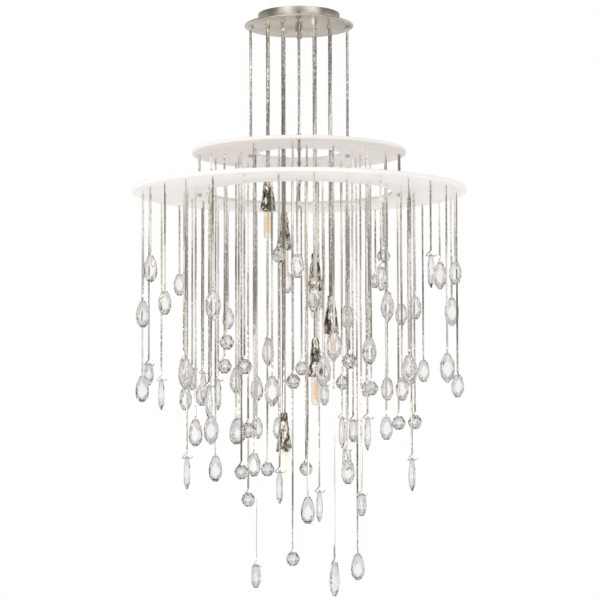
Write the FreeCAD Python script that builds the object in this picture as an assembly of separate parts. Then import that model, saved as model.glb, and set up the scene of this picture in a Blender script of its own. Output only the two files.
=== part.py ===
import FreeCAD, Part
import os
from math import cos, pi, radians, sin, sqrt

V = FreeCAD.Vector

# A two-tier crystal chandelier. The origin is on the ceiling, on the chandelier's axis, with +Z up,
# so everything hangs below zero. A depth is a distance below the ceiling. An angle round the axis
# starts at the front, which is -Y, and grows towards +X. All sizes are in millimetres.

# Canopy: a flat plate under a short round collar that hides the ceiling box. The plate's rim
# reaches outside the upper hang rods, and the collar is set in from them.
PLATE_RIM = 13.5
PLATE_T = 3
COLLAR_IN = 16
COLLAR_H = 24
COLLAR_WALL = 1.2
CEILING_GAP = 0.5

# Ceiling strap, with the hole spacing of a four-inch ceiling box
STRAP_W = 20
STRAP_T = 2.5
STRAP_EAR = 15
STRAP_EAR_GAP = 0.4
BOX_HOLE_SPACING = 88.9
BOX_HOLE_D = 5
NIPPLE_D = 9.5
NIPPLE_BORE = 5.5
NUT_T = 4
KNOB_D = 15
KNOB_H = 11
KNOB_CHAMFER = 2
KNOB_SIDES = 12
SIDE_SCREW_D = 4
SIDE_SCREW_HEAD = 8
SIDE_SCREW_HEAD_T = 2.4

# Rings: flat plaster-finished rings, the lower one wider
RING_T = 8
UPPER_RING_D = 460
UPPER_RING_BORE = 180
UPPER_RING_DEPTH = 306
LOWER_RING_D = 716
LOWER_RING_DEPTH = 390
RING_LAP = 31

# Rods that carry the rings
HANG_ROD = 6
UPPER_HANG_IN = 14
HANG_NUT = 10
HANG_NUT_T = 6
FERRULE = 12.5
FERRULE_T = 5

# Lamps: six stems on a circle that is set in from the collar, whose cups step down in a spiral
STEM_D = 8.6
STEM_BORE = 5
STEM_IN = 21
STEM_ANGLES = [-90, -150, 150, 90, 30, -30]
CUP_DEPTHS = [427, 505, 595, 692, 785, 942]
CUP_LENGTH = 82
CUP_MOUTH_D = 34
CUP_TOP_D = 15
CUP_WALL = 1.2
CUP_SIDES = 10
HOLDER_D = 18
HOLDER_H = 36
HOLDER_BORE = 12.7
WIRE_D = 3.4
SPLICE_H = 11
BULB_D = 19
BULB_BELOW_CUP = 60
BULB_CAP_D = 12
BULB_CAP_H = 18
BULB_GLASS_WALL = 0.8
FILAMENT_D = 1.6

# Drops: hammered rods with a bent hook, each with a cut crystal on the hook's pin
DROP_ROD = 4.5
HOOK_WIRE = 2.2
HOOK_OUT = 10.5
HOOK_DROP = 14
HOOK_TIP = 4
CRYSTAL_HOLE = 3.4
HOLE_TO_TOP = 5
CRYSTAL_SIDES = 6
DROP_ROD_SIDES = 4

# Round things are drawn with flat sides and measured across them, so that so many stay light
ROUND_SIDES = 6
DISC_SIDES = 60
CLEARANCE = 0.25

# Cut of each crystal: height, width, thickness, then the edge loops from the top down, each as
# its share of the height and its share of the width
CUTS = {
    "pear": (56, 32, 22, [(0, 0.28), (0.62, 1), (1, 0.4)]),
    "almond": (62, 34, 17, [(0, 0.26), (0.52, 1), (1, 0.26)]),
    "egg": (48, 28, 24, [(0, 0.34), (0.58, 1), (1, 0.4)]),
    "ball": (30, 31, 31, [(0, 0.2), (0.5, 1), (1, 0.4)]),
    "leaf": (70, 26, 17, [(0, 0.3), (0.55, 1), (1, 0.2)]),
}

# Hanging chart, one line of drops per row of holes, going round from the first angle:
# the crystal's cut, the depth of its hook pin, and how far the hook is turned about its rod
LOWER_OUTER = [
    ("egg", 625, 90), ("ball", 755, 45), ("egg", 580, 0), ("almond", 755, 90), ("leaf", 545, 0),
    ("almond", 745, 90), ("egg", 550, 90), ("egg", 785, 90), ("almond", 615, 90), ("almond", 530, 60),
    ("egg", 745, 90), ("egg", 615, 90), ("ball", 545, 45), ("pear", 610, 90), ("egg", 575, 90),
    ("egg", 535, 90), ("pear", 775, 90), ("egg", 620, 90), ("egg", 795, 90), ("egg", 550, 90),
    ("leaf", 785, 0), ("egg", 755, 0), ("pear", 785, 90), ("pear", 630, 90), ("pear", 540, 90),
    ("egg", 620, 90), ("almond", 760, 90), ("almond", 625, 90), ("ball", 765, 45), ("ball", 545, 45),
]
LOWER_INNER = [
    ("egg", 550, 90), ("almond", 755, 90), ("egg", 965, 90), ("pear", 715, 90), ("almond", 620, 60),
    ("egg", 795, 90), ("leaf", 960, 0), ("egg", 620, 90), ("ball", 870, 45), ("egg", 740, 90),
    ("ball", 870, 45), ("ball", 500, 45), ("ball", 795, 45), ("egg", 940, 0), ("egg", 795, 0),
    ("ball", 745, 45), ("egg", 870, 90), ("egg", 870, 90), ("pear", 760, 90), ("leaf", 785, 0),
    ("leaf", 770, 0), ("egg", 765, 0), ("egg", 810, 90), ("egg", 750, 0), ("leaf", 955, 0),
    ("pear", 880, 90), ("leaf", 810, 0), ("ball", 710, 45), ("ball", 890, 45), ("almond", 795, 90),
]
UPPER_OUTER = [
    ("ball", 790, 45), ("almond", 700, 90), ("leaf", 875, 0), ("egg", 875, 90), ("egg", 790, 90),
    ("ball", 795, 45), ("ball", 780, 45), ("ball", 970, 45), ("almond", 695, 60), ("pear", 875, 90),
    ("pear", 955, 90), ("almond", 870, 90), ("ball", 755, 45), ("egg", 950, 90),
]
UPPER_INNER = [
    ("pear", 1040, 90), ("leaf", 1175, 60), ("egg", 880, 0), ("egg", 1035, 0), ("pear", 1165, 90),
    ("leaf", 870, 0), ("leaf", 1030, 0), ("ball", 1165, 45), ("ball", 970, 45), ("ball", 1035, 45),
    ("pear", 875, 90), ("ball", 975, 45), ("egg", 1180, 0), ("leaf", 985, 0),
]

# Places that follow from the sizes above
PLATE_TOP = -CEILING_GAP - COLLAR_H
PLATE_UNDER = PLATE_TOP - PLATE_T
UPPER_HANG_R = UPPER_RING_BORE / 2 + UPPER_HANG_IN
PLATE_D = 2 * (UPPER_HANG_R + PLATE_RIM)
COLLAR_D = 2 * (UPPER_HANG_R - COLLAR_IN)
COLLAR_BORE_R = COLLAR_D / 2 - COLLAR_WALL
STEM_CIRCLE_R = COLLAR_D / 2 - STEM_IN
SIDE_SCREW_Z = -CEILING_GAP - COLLAR_H / 2
EAR_OUT = sqrt(COLLAR_BORE_R**2 - (STRAP_W / 2) ** 2) - STRAP_EAR_GAP
LOWER_RING_BORE = UPPER_RING_D - 2 * RING_LAP
LOWER_HANG_R = UPPER_RING_D / 2 - RING_LAP / 2
UPPER_BAND = (LOWER_RING_BORE - UPPER_RING_BORE) / 2
LOWER_BAND = (LOWER_RING_D - LOWER_RING_BORE) / 2

# Rows of drops: the ring's depth, the row's radius, the first hole's angle and the hanging chart.
# The rows share out the open band under their ring, and the upper ring's ends at the lower ring's
# bore, because its drops pass through there.
ROWS = {
    "lower_outer": (LOWER_RING_DEPTH, LOWER_RING_BORE / 2 + 0.862 * LOWER_BAND, 5, LOWER_OUTER),
    "lower_inner": (LOWER_RING_DEPTH, LOWER_RING_BORE / 2 + 0.302 * LOWER_BAND, -1, LOWER_INNER),
    "upper_outer": (UPPER_RING_DEPTH, UPPER_RING_BORE / 2 + 0.917 * UPPER_BAND, -4, UPPER_OUTER),
    "upper_inner": (UPPER_RING_DEPTH, UPPER_RING_BORE / 2 + 0.376 * UPPER_BAND, 7, UPPER_INNER),
}


def place(radius, angle, z=0):
    """A point at a radius and an angle from the front, at a height."""
    return V(radius * sin(radians(angle)), -radius * cos(radians(angle)), z)


def loop(centre, width, sides, depth=None):
    """Corners of a level polygon, measured across its flats, that is squashed along X to a depth."""
    across = width / cos(pi / sides) / 2
    squash = 1 if depth is None else depth / width
    turns = [2 * pi * (i + 0.5) / sides for i in range(sides)]
    return [centre + V(across * squash * cos(t), across * sin(t), 0) for t in turns]


def flat(corners):
    return Part.Face(Part.makePolygon(corners + corners[:1]))


def skin(loops):
    """A closed solid of flat facets through loops that have equally many corners."""
    faces = [flat(loops[0]), flat(loops[-1])]
    for near, far in zip(loops, loops[1:]):
        count = len(near)
        for i in range(count):
            j = (i + 1) % count
            faces.append(flat([near[i], near[j], far[j], far[i]]))
    solid = Part.makeSolid(Part.makeShell(faces))
    if solid.Volume < 0:
        solid.reverse()
    return solid


def bar(top, bottom, width, sides=ROUND_SIDES):
    """An upright bar of flat facets between two points."""
    return skin([loop(top, width, sides), loop(bottom, width, sides)])


def tube(top, bottom, width, bore, sides=ROUND_SIDES):
    return bar(top, bottom, width, sides).cut(bar(top, bottom, bore, sides))


def bent_wire(path, width):
    """A square wire along a path of straight runs, mitred at its bends."""
    loops = [loop(path[0], width, 4)]
    for i in range(1, len(path)):
        ahead = (path[i] - path[i - 1]).normalize()
        normal = V(ahead)
        if i + 1 < len(path):
            normal = (ahead + (path[i + 1] - path[i]).normalize()).normalize()
        reach = [(path[i] - p).dot(normal) / ahead.dot(normal) for p in loops[-1]]
        loops.append([p + ahead * r for p, r in zip(loops[-1], reach)])
    return skin(loops)


def save(node, solids):
    """Writes one node, which is a solid or a group of separate solids."""
    shape = solids[0] if len(solids) == 1 else Part.makeCompound(solids)
    shape.exportStep("parts/" + node + ".step")


def drop_places(row):
    """Each drop of a row: its cut, hook turn, rod top and pin centre."""
    ring_depth, radius, first, chart = ROWS[row]
    for i, (cut, pin_depth, turn) in enumerate(chart):
        angle = first + 360 * i / len(chart)
        yield cut, turn, place(radius, angle, -ring_depth), place(radius, angle, -pin_depth)


def drop_rod(top, pin, turn):
    """A drop rod that seats under its ring, with a hook whose pin runs level through the crystal."""
    end = pin + V(0, 0, HOOK_DROP)
    path = [
        end,
        pin + V(-HOOK_OUT, 0, 0),
        pin + V(HOOK_OUT, 0, 0),
        pin + V(HOOK_OUT + HOOK_TIP / 3, 0, HOOK_TIP),
    ]
    hook = bent_wire(path, HOOK_WIRE)
    hook.rotate(pin, V(0, 0, 1), turn)
    return bar(top, end, DROP_ROD, DROP_ROD_SIDES).fuse(hook).removeSplitter()


def crystal(cut, pin, turn):
    """A cut crystal, hung with its drilled hole on the pin."""
    height, width, thick, edges = CUTS[cut]
    top = HOLE_TO_TOP
    loops = [
        loop(V(0, 0, top - height * down), width * share, CRYSTAL_SIDES, thick * share)
        for down, share in edges
    ]
    hole = Part.makeBox(thick, CRYSTAL_HOLE, CRYSTAL_HOLE)
    hole.translate(V(-thick / 2, -CRYSTAL_HOLE / 2, -CRYSTAL_HOLE / 2))
    stone = skin(loops).cut(hole)
    stone.rotate(V(0, 0, 0), V(0, 0, 1), turn)
    stone.translate(pin)
    return stone


def make_drops():
    """Rods as one node per row. The upper rows' crystals swing, so each is a node of its own."""
    for row in ROWS:
        drops = list(drop_places(row))
        save(row + "_rods", [drop_rod(top, pin, turn) for cut, turn, top, pin in drops])
        crystals = [crystal(cut, pin, turn) for cut, turn, top, pin in drops]
        if row.startswith("upper"):
            for number, stone in enumerate(crystals, 1):
                save("%s_crystal_%02d" % (row, number), [stone])
        else:
            save(row + "_crystals", crystals)


def ring(outer_d, bore, depth, holes):
    """A flat ring with a hole for each rod that passes it."""
    body = tube(V(0, 0, RING_T - depth), V(0, 0, -depth), outer_d, bore, DISC_SIDES)
    for radius, angle in holes:
        top = place(radius, angle, -depth + RING_T)
        body = body.cut(bar(top, place(radius, angle, -depth), HANG_ROD + 2 * CLEARANCE))
    return body


def make_rings():
    """Both rings, the rods that carry them, and the nuts under them."""
    quarters = [0, 90, 180, 270]
    upper_holes = [(UPPER_HANG_R, a) for a in quarters]
    lower_holes = [(LOWER_HANG_R, a) for a in quarters]
    save("upper_ring", [ring(UPPER_RING_D, UPPER_RING_BORE, UPPER_RING_DEPTH, upper_holes + lower_holes)])
    save("lower_ring", [ring(LOWER_RING_D, LOWER_RING_BORE, LOWER_RING_DEPTH, lower_holes)])
    stages = [
        ("upper", UPPER_HANG_R, PLATE_TOP, UPPER_RING_DEPTH),
        ("lower", LOWER_HANG_R, RING_T - UPPER_RING_DEPTH, LOWER_RING_DEPTH),
    ]
    for name, radius, seat, depth in stages:
        rods, nuts = [], []
        for a in quarters:
            top = place(radius, a, seat + NUT_T)
            rods.append(bar(top, place(radius, a, -depth - HANG_NUT_T), HANG_ROD))
            bore = HANG_ROD + 2 * CLEARANCE
            nuts.append(tube(place(radius, a, -depth), place(radius, a, -depth - HANG_NUT_T), HANG_NUT, bore))
            nuts.append(tube(top, place(radius, a, seat), HANG_NUT, bore))
        save(name + "_hang_rods", rods)
        save(name + "_hang_nuts", nuts)


def lengthwise(solid):
    """Lays an upright solid down, so that up becomes backwards, at the side screws' height."""
    laid = solid.copy()
    laid.rotate(V(0, 0, 0), V(1, 0, 0), -90)
    laid.translate(V(0, 0, SIDE_SCREW_Z))
    return laid


def side_holes():
    """A long bar from front to back that drills the side screws' holes."""
    return lengthwise(bar(V(0, 0, COLLAR_D), V(0, 0, -COLLAR_D), SIDE_SCREW_D + 2 * CLEARANCE))


def strap():
    """The cross bar that screws to the ceiling box, with a turned-down ear at each end."""
    body = Part.makeBox(STRAP_W, 2 * EAR_OUT, STRAP_T, V(-STRAP_W / 2, -EAR_OUT, -STRAP_T))
    for y in (-EAR_OUT, EAR_OUT - STRAP_T):
        body = body.fuse(Part.makeBox(STRAP_W, STRAP_T, STRAP_EAR, V(-STRAP_W / 2, y, -STRAP_EAR)))
    body = body.removeSplitter().cut(side_holes())
    for side in (-1, 1):
        low = V(0, side * BOX_HOLE_SPACING / 2, -STRAP_T)
        body = body.cut(Part.makeCylinder(BOX_HOLE_D / 2, STRAP_T, low))
    return body.cut(bar(V(0, 0, 0), V(0, 0, -STRAP_T), NIPPLE_D + 2 * CLEARANCE))


def side_screw(turn):
    """A screw from outside the collar into the strap's ear, at the front or turned to the back."""
    outside = V(0, 0, -COLLAR_D / 2)
    shank = bar(V(0, 0, STRAP_T - EAR_OUT), outside, SIDE_SCREW_D)
    crown = outside - V(0, 0, SIDE_SCREW_HEAD_T)
    head = skin([loop(outside, SIDE_SCREW_HEAD, 8), loop(crown, SIDE_SCREW_HEAD / 2, 8)])
    screw = lengthwise(shank.fuse(head))
    screw.rotate(V(0, 0, 0), V(0, 0, 1), turn)
    return screw


def make_canopy():
    """The canopy with what holds it to the ceiling."""
    save("ceiling_strap", [strap()])
    collar_top, seat, under = [V(0, 0, z) for z in (-CEILING_GAP, PLATE_TOP, PLATE_UNDER)]
    collar = tube(collar_top, seat, COLLAR_D, 2 * COLLAR_BORE_R, DISC_SIDES)
    save("canopy_collar", [collar.cut(side_holes())])
    plate = bar(seat, under, PLATE_D, DISC_SIDES)
    passing = [(STEM_CIRCLE_R, a, STEM_D) for a in STEM_ANGLES]
    passing += [(UPPER_HANG_R, a, HANG_ROD) for a in (0, 90, 180, 270)]
    for radius, angle, width in passing + [(0, 0, NIPPLE_D)]:
        low, high = place(radius, angle, PLATE_UNDER), place(radius, angle, PLATE_TOP)
        plate = plate.cut(bar(high, low, width + 2 * CLEARANCE))
    save("canopy_plate", [plate])
    save("collar_screws", [side_screw(0), side_screw(180)])
    bore = NIPPLE_D + 2 * CLEARANCE
    nipple_low = V(0, 0, PLATE_UNDER - KNOB_H / 2)
    save("centre_nipple", [tube(V(0, 0, -CEILING_GAP / 2), nipple_low, NIPPLE_D, NIPPLE_BORE)])
    nut_tops = [V(0, 0, -STRAP_T), V(0, 0, PLATE_TOP + NUT_T)]
    save("nipple_nuts", [tube(top, top - V(0, 0, NUT_T), 1.5 * NIPPLE_D, bore) for top in nut_tops])
    knob_low = V(0, 0, PLATE_UNDER - KNOB_H)
    rim = knob_low + V(0, 0, KNOB_CHAMFER)
    widths = [(under, KNOB_D), (rim, KNOB_D), (knob_low, KNOB_D - 2 * KNOB_CHAMFER)]
    knob = skin([loop(centre, width, KNOB_SIDES) for centre, width in widths])
    save("centre_knob", [knob.cut(bar(under, nipple_low, bore))])
    save("ferrules", [
        tube(place(r, a, PLATE_UNDER), place(r, a, PLATE_UNDER - FERRULE_T), FERRULE, w + 2 * CLEARANCE)
        for r, a, w in passing
    ])


def cup_radius(up):
    """Outside radius of a lamp cup at a height above its mouth."""
    rise = CUP_LENGTH - CUP_TOP_D / 3
    return (CUP_MOUTH_D + (CUP_TOP_D - CUP_MOUTH_D) * up / rise) / 2


def holder_top_up():
    """Height in the cup where the holder's top edge meets the inside wall, which carries the cup."""
    rise = CUP_LENGTH - CUP_TOP_D / 3
    slope = (CUP_MOUTH_D - CUP_TOP_D) / 2 / rise
    return (CUP_MOUTH_D / 2 - CUP_WALL - HOLDER_D / 2 - CLEARANCE) / slope


def cup(mouth):
    """A hammered cone, open below, with a rounded top that the stem passes through."""
    rise = CUP_LENGTH - CUP_TOP_D / 3
    heights = [(0, 1), (rise, 1), (CUP_LENGTH, 0.8)]

    def layer(up, share, wall):
        width = 2 * (cup_radius(min(up, rise)) * share - wall)
        return loop(mouth + V(0, 0, up), width, CUP_SIDES)

    outside = skin([layer(up, share, 0) for up, share in heights])
    inside = skin([layer(up, 1, CUP_WALL) for up in (0, rise - CUP_WALL)])
    stem_hole = bar(mouth + V(0, 0, CUP_LENGTH), mouth, STEM_D + 2 * CLEARANCE)
    return outside.cut(inside).cut(stem_hole)


def bulb(mouth, holder_low):
    """A slim clear lamp: screw cap in the holder, glass tube below it, and a filament."""
    cap_top = holder_low + V(0, 0, BULB_CAP_H)
    cap = bar(cap_top, holder_low, BULB_CAP_D, 8)
    end = mouth - V(0, 0, BULB_BELOW_CUP)
    shoulder = holder_low - V(0, 0, CLEARANCE + BULB_D / 3)
    dome = end + V(0, 0, BULB_D / 3)

    def glass(wall):
        levels = [
            (holder_low - V(0, 0, wall), BULB_CAP_D - 2 * wall),
            (shoulder, BULB_D - 2 * wall),
            (dome, BULB_D - 2 * wall),
            (end + V(0, 0, wall), BULB_D / 2 - 2 * wall),
        ]
        return skin([loop(centre, width, 8) for centre, width in levels])

    filament = bar(holder_low - V(0, 0, BULB_GLASS_WALL), dome, FILAMENT_D, 4)
    return [cap, glass(0).cut(glass(BULB_GLASS_WALL)), filament]


def make_lamps():
    """Stems, cups, holders and their wiring, and one node for each bulb."""
    stems, nuts, cups, holders, wires, splices = [], [], [], [], [], []
    stem_top_z = PLATE_TOP + NUT_T + 1
    for number, (angle, depth) in enumerate(zip(STEM_ANGLES, CUP_DEPTHS), 1):
        mouth = place(STEM_CIRCLE_R, angle, -depth)
        holder_top = mouth + V(0, 0, holder_top_up())
        holder_low = holder_top - V(0, 0, HOLDER_H)
        stem_top = place(STEM_CIRCLE_R, angle, stem_top_z)
        stems.append(tube(stem_top, holder_top, STEM_D, STEM_BORE))
        nut_low = place(STEM_CIRCLE_R, angle, PLATE_TOP)
        nuts.append(tube(nut_low + V(0, 0, NUT_T), nut_low, FERRULE, STEM_D + 2 * CLEARANCE))
        cups.append(cup(mouth))
        socket = bar(holder_low + V(0, 0, BULB_CAP_H + 1), holder_low, HOLDER_BORE, 8)
        holders.append(bar(holder_top, holder_low, HOLDER_D, CUP_SIDES).cut(socket))
        wire_top = stem_top + V(0, 0, 1.5)
        wires.append(bar(wire_top, holder_top, WIRE_D, 4))
        splices.append(skin([loop(wire_top, 8, 6), loop(wire_top + V(0, 0, SPLICE_H), 4, 6)]))
        save("bulb_%d" % number, bulb(mouth, holder_low))
    save("lamp_stems", stems)
    save("stem_nuts", nuts)
    save("lamp_cups", cups)
    save("lampholders", holders)
    save("lamp_wires", wires)
    save("splice_caps", splices)


os.makedirs("parts", exist_ok=True)
make_canopy()
make_rings()
make_lamps()
make_drops()
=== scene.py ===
# %% [markdown]
# # A two-tier crystal chandelier
# Two flat white rings hang one below the other from a silver canopy. They carry eighty-eight hammered
# rods, each with a cut crystal on its hooked end, round six slim tube lamps in small metal cups.
# The construction comes packed as a fixed frame of plain solids. This lesson gives those solids their
# looks: it measures where each piece hangs, models the piece finer in the same place, and paints it.

# %% Load the fixed frame
from math import atan2, cos, hypot, pi, radians

import bmesh
import bpy
from mathutils import Matrix, Vector


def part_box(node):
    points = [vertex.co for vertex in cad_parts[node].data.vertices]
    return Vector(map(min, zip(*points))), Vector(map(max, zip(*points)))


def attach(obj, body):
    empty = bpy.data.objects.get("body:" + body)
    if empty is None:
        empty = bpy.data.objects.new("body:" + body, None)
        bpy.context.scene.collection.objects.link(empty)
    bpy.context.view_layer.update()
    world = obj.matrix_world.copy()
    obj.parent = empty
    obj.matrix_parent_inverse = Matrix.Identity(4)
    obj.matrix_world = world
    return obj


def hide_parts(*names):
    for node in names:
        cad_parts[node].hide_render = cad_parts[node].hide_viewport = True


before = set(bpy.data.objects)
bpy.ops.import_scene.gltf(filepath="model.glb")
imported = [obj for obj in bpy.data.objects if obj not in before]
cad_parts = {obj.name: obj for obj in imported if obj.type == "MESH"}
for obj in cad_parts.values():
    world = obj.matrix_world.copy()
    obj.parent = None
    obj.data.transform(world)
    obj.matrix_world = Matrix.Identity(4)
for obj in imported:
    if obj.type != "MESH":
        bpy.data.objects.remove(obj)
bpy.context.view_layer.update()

# %% [markdown]
# ## Measuring what hangs where
# A row of rods is one node, but up to thirty separate solids. Merging the doubled corners in a copy of
# the node's mesh leaves one island of joined corners for each solid, and each island then tells where
# its rod hangs. That keeps every place in one file only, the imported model.

# %% Islands of a node
MM = 0.001
SAME_CORNER = 0.001 * MM


def islands(node):
    """The corners of each separate solid in a node, as lists of points, in metres."""
    mesh = bmesh.new()
    mesh.from_mesh(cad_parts[node].data)
    bmesh.ops.remove_doubles(mesh, verts=mesh.verts, dist=SAME_CORNER)
    found, seen = [], set()
    for start in mesh.verts:
        if start in seen:
            continue
        seen.add(start)
        stack, points = [start], []
        while stack:
            corner = stack.pop()
            points.append(corner.co.copy())
            for edge in corner.link_edges:
                other = edge.other_vert(corner)
                if other not in seen:
                    seen.add(other)
                    stack.append(other)
        found.append(points)
    mesh.free()
    return found


def extent(points):
    """Lowest and highest corner of a list of points."""
    low = Vector([min(p[i] for p in points) for i in range(3)])
    high = Vector([max(p[i] for p in points) for i in range(3)])
    return low, high


print("drop rods on the lower ring's outer row:", len(islands("lower_outer_rods")))

# %% [markdown]
# ## The hanging places of the drops
# A drop is a rod, its hook and its crystal. The rod's top rim gives its axis, the lowest corner is the
# underside of the hook's pin, and of the corners far from the axis the highest is the pin's turned-up
# tip, which tells which way the hook is turned.

# %% Read a hook
PACKED_WIRE_R = 1.1 * MM
RIM_DEPTH = 0.1 * MM
TIP_REACH = 9 * MM


def hook_facts(points):
    """A rod's axis and top, its pin's height, and the turn of its hook about the rod."""
    low, high = extent(points)
    rim = [p for p in points if p.z > high.z - RIM_DEPTH]
    x = sum(p.x for p in rim) / len(rim)
    y = sum(p.y for p in rim) / len(rim)
    far = [p for p in points if hypot(p.x - x, p.y - y) > TIP_REACH]
    tip = max(far, key=lambda p: p.z)
    turn = atan2(tip.y - y, tip.x - x)
    return {"x": x, "y": y, "top": high.z, "pin": low.z + PACKED_WIRE_R, "turn": turn}


print("one hook:", hook_facts(islands("lower_outer_rods")[0]))

# %% [markdown]
# ## Which crystal hangs there
# The five cuts all differ in height, so the height of the solid that hangs on a pin names its cut. Its
# top stands a fixed way above the pin, because every crystal is drilled at the same depth.

# %% Measure every drop
HOLE_TO_TOP = 5 * MM
CUT_HEIGHTS = {"ball": 30 * MM, "egg": 48 * MM, "pear": 56 * MM, "almond": 62 * MM, "leaf": 70 * MM}
ROWS = ("lower_outer", "lower_inner", "upper_outer", "upper_inner")


def crystal_at(drop, crystals):
    """The cut of the crystal that hangs on a drop's pin."""
    def miss(points):
        low, high = extent(points)
        middle = (low + high) / 2
        aside = hypot(middle.x - drop["x"], middle.y - drop["y"])
        return aside + abs(high.z - drop["pin"] - HOLE_TO_TOP)

    low, high = extent(min(crystals, key=miss))
    return min(CUT_HEIGHTS, key=lambda cut: abs(CUT_HEIGHTS[cut] - (high.z - low.z)))


drops = {}
for row in ROWS:
    drops[row] = [hook_facts(points) for points in islands(row + "_rods")]
    names = [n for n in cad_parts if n.startswith(row + "_crystal")]
    crystals = [points for name in names for points in islands(name)]
    for drop in drops[row]:
        drop["cut"] = crystal_at(drop, crystals)
    print(row, len(drops[row]), "drops, deepest pin", round(min(d["pin"] for d in drops[row]), 3))

# %% [markdown]
# ## Shader maths as plain expressions
# A finish is a small formula, so it should read like one. `Value` wraps one output of a shader node and
# turns Python's operators into Math nodes. Python turns to the reflected forms when the number stands
# first, as in 1 - mask.

# %% A socket with operators
class Value:
    """One output of a node, which arithmetic turns into Math nodes."""

    def __init__(self, finish, socket):
        self.finish = finish
        self.socket = socket

    def math(self, operation, *others, swap=False):
        terms = [self, *others]
        if swap:
            terms.reverse()
        return self.finish.add("ShaderNodeMath", {"operation": operation}, dict(enumerate(terms)))

    def __add__(self, other):
        return self.math("ADD", other)

    def __sub__(self, other):
        return self.math("SUBTRACT", other)

    def __rsub__(self, other):
        return self.math("SUBTRACT", other, swap=True)

    def __mul__(self, other):
        return self.math("MULTIPLY", other)

    __radd__ = __add__
    __rmul__ = __mul__

    def ramp(self, low, high):
        """0 below low, 1 above high, and smooth between."""
        settings = {"interpolation_type": "SMOOTHSTEP"}
        return self.finish.add("ShaderNodeMapRange", settings, {0: self, 1: low, 2: high})


print("operators that make Math nodes: +, - and *")

# %% [markdown]
# ## A node tree that grows by one method
# `Finish` holds one node tree. Its `add` takes a node's type, its settings and what goes into its
# sockets, and the few nodes that most finishes share get short names of their own. All patterns read
# Object coordinates, so they stay on a piece wherever its body moves.

# %% A node tree, and a material on it
class Finish:
    """A node tree with one method that adds nodes."""

    def __init__(self, tree):
        self.tree = tree
        tree.nodes.clear()

    def add(self, kind, settings=None, inputs=None, out=0):
        node = self.tree.nodes.new(kind)
        for key, value in (settings or {}).items():
            setattr(node, key, value)
        for key, value in (inputs or {}).items():
            if isinstance(value, Value):
                self.tree.links.new(value.socket, node.inputs[key])
            else:
                node.inputs[key].default_value = value
        return Value(self, node.outputs[out])

    def blend(self, share, one, other):
        """A colour between two, by a share from 0 to 1."""
        inputs = {0: share, 6: one, 7: other}
        return self.add("ShaderNodeMix", {"data_type": "RGBA"}, inputs, out=2)

    def place(self):
        return self.add("ShaderNodeTexCoord", out="Object")

    def stretched(self, height):
        """Places with their height made smaller, which draws a pattern out along Z."""
        inputs = {0: self.place(), 1: (1, 1, height)}
        return self.add("ShaderNodeVectorMath", {"operation": "MULTIPLY"}, inputs)

    def noise(self, scale, detail=2.0, roughness=0.5, vector=None):
        inputs = {"Vector": vector or self.place(), "Scale": scale, "Detail": detail, "Roughness": roughness}
        return self.add("ShaderNodeTexNoise", {}, inputs)

    def bump(self, height, strength, distance):
        return self.add("ShaderNodeBump", {}, {"Height": height, "Strength": strength, "Distance": distance})

    def show(self, kind, value):
        """Ends the tree in an output node."""
        self.tree.links.new(value.socket, self.tree.nodes.new(kind).inputs["Surface"])


def material(name, constants, recipe=None):
    """A Principled material: constants sit on its sockets, and a recipe gives the varying inputs."""
    made = bpy.data.materials.new(name)
    made.use_nodes = True
    finish = Finish(made.node_tree)
    inputs = dict(constants)
    if recipe:
        inputs.update(recipe(finish))
    finish.show("ShaderNodeOutputMaterial", finish.add("ShaderNodeBsdfPrincipled", {}, inputs))
    return made


METAL = {"Metallic": 1.0}
print("shader helpers ready")

# %% [markdown]
# ## Silver leaf on hammered iron
# The rods and stems are hammered and covered in thin silver leaf, which is warm, a little cloudy and
# darker where it has worn. Noise that is drawn out along the rod moves the colour between fresh and aged
# leaf, finer noise breaks the gloss, and a cell pattern adds dents that are too fine for the mesh. The
# stems and ferrules have worn further than the drop rods.

# %% Silver for rods and stems
LEAF_FRESH = (0.94, 0.895, 0.82, 1)
LEAF_AGED = (0.34, 0.30, 0.245, 1)
FINE_DENT = 7 * MM


def hammered(wear, dent_depth):
    """A recipe for silver leaf over fine dents of a depth in metres, aged further as wear grows."""
    def recipe(finish):
        tone = finish.noise(scale=30, detail=1, vector=finish.stretched(0.04))
        streak = finish.noise(scale=600, roughness=0.6, vector=finish.stretched(0.3))
        cells = finish.add(
            "ShaderNodeTexVoronoi",
            {"feature": "SMOOTH_F1"},
            {"Vector": finish.place(), "Scale": 1 / FINE_DENT, "Smoothness": 0.4},
        )
        aged = (tone * 0.6 + streak * 0.4).ramp(0.56 - wear, 0.70 - wear)
        return {
            "Base Color": finish.blend(aged, LEAF_FRESH, LEAF_AGED),
            "Roughness": streak * 0.12 + aged * 0.1 + 0.03,
            "Normal": finish.bump(cells + streak * 0.1, 1.0, dent_depth),
        }
    return recipe


rod_silver = material("hammered_rod_silver", METAL, hammered(0.04, 0.25 * MM))
stem_silver = material("hammered_stem_silver", METAL, hammered(0.13, 0.15 * MM))
print("hammered silver:", rod_silver.name, stem_silver.name)

# %% [markdown]
# ## Smoked leaf with painted reflections, and satin leaf
# The lamp cups are beaten so hard that their leaf is smoked brown between the hammer's marks. Their bright
# and near-black patches are partly that smoke and partly painted highlights and painted dark reflections,
# and one noise gives both the patches and their relief. The canopy is the opposite: smooth
# metal under satin leaf, with soft clouds and hardly any relief.

# %% Silver for cups and canopy
# The bright leaf is partly a painted highlight, and the smoked leaf partly a painted dark reflection.
LEAF_BEATEN_AND_HIGHLIGHT = (0.88, 0.83, 0.74, 1)
LEAF_SMOKED_AND_DARK_REFLECTION = (0.15, 0.13, 0.085, 1)
CANOPY_LIGHT = (0.75, 0.685, 0.60, 1)
CANOPY_DARK = (0.64, 0.58, 0.50, 1)


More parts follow.
